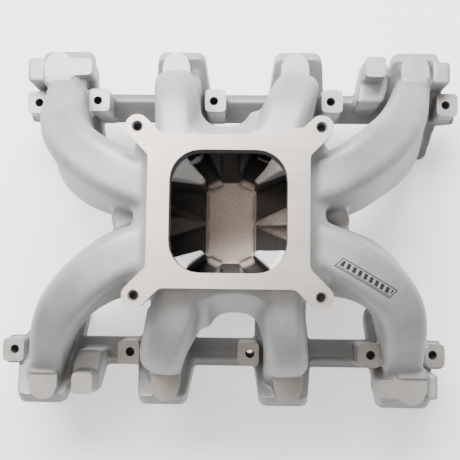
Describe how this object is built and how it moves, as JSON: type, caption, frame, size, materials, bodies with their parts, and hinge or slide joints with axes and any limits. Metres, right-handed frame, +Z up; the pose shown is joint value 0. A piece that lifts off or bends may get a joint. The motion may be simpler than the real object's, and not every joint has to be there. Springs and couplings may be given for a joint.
{
  "type": "intake manifold",
  "caption": "Single-plane V8 intake manifold: square-bore carburettor flange over a plenum, with curved runners to cathedral ports on two banks.",
  "frame": {"origin": "on the surface that the manifold stands on, under the middle of the carburettor flange", "axes": "+X towards the engine's front, along the crankshaft; +Y towards the left bank; +Z up, out of the carburettor flange"},
  "size_m": [0.442, 0.334, 0.207],
  "materials": {
    "cast_aluminium": "as-cast and bead-blasted, matt",
    "machined_face": "machined, satin",
    "seal_rubber": "matt moulded rubber"
  },
  "bodies": {
    "root": {"carburettor_flange": "machined_face", "plenum_body": "cast_aluminium", "plenum_floor": "cast_aluminium", "runner_1": "cast_aluminium", "runner_3": "cast_aluminium", "runner_5": "cast_aluminium", "runner_7": "cast_aluminium", "runner_8": "cast_aluminium", "runner_6": "cast_aluminium", "runner_4": "cast_aluminium", "runner_2": "cast_aluminium", "port_flange_1": "cast_aluminium", "port_flange_3": "cast_aluminium", "port_flange_5": "cast_aluminium", "port_flange_7": "cast_aluminium", "port_flange_8": "cast_aluminium", "port_flange_6": "cast_aluminium", "port_flange_4": "cast_aluminium", "port_flange_2": "cast_aluminium", "flange_rail_left": "cast_aluminium", "flange_rail_right": "cast_aluminium", "bolt_bosses_left": "cast_aluminium", "bolt_bosses_right": "cast_aluminium", "injector_pad_1": "cast_aluminium", "injector_pad_3": "cast_aluminium", "injector_pad_5": "cast_aluminium", "injector_pad_7": "cast_aluminium", "injector_pad_8": "cast_aluminium", "injector_pad_6": "cast_aluminium", "injector_pad_4": "cast_aluminium", "injector_pad_2": "cast_aluminium", "fuel_rail_boss_left": "cast_aluminium", "fuel_rail_boss_right": "cast_aluminium", "port_seal_1": "seal_rubber", "port_seal_3": "seal_rubber", "port_seal_5": "seal_rubber", "port_seal_7": "seal_rubber", "port_seal_8": "seal_rubber", "port_seal_6": "seal_rubber", "port_seal_4": "seal_rubber", "port_seal_2": "seal_rubber"}
  },
  "joints": []
}
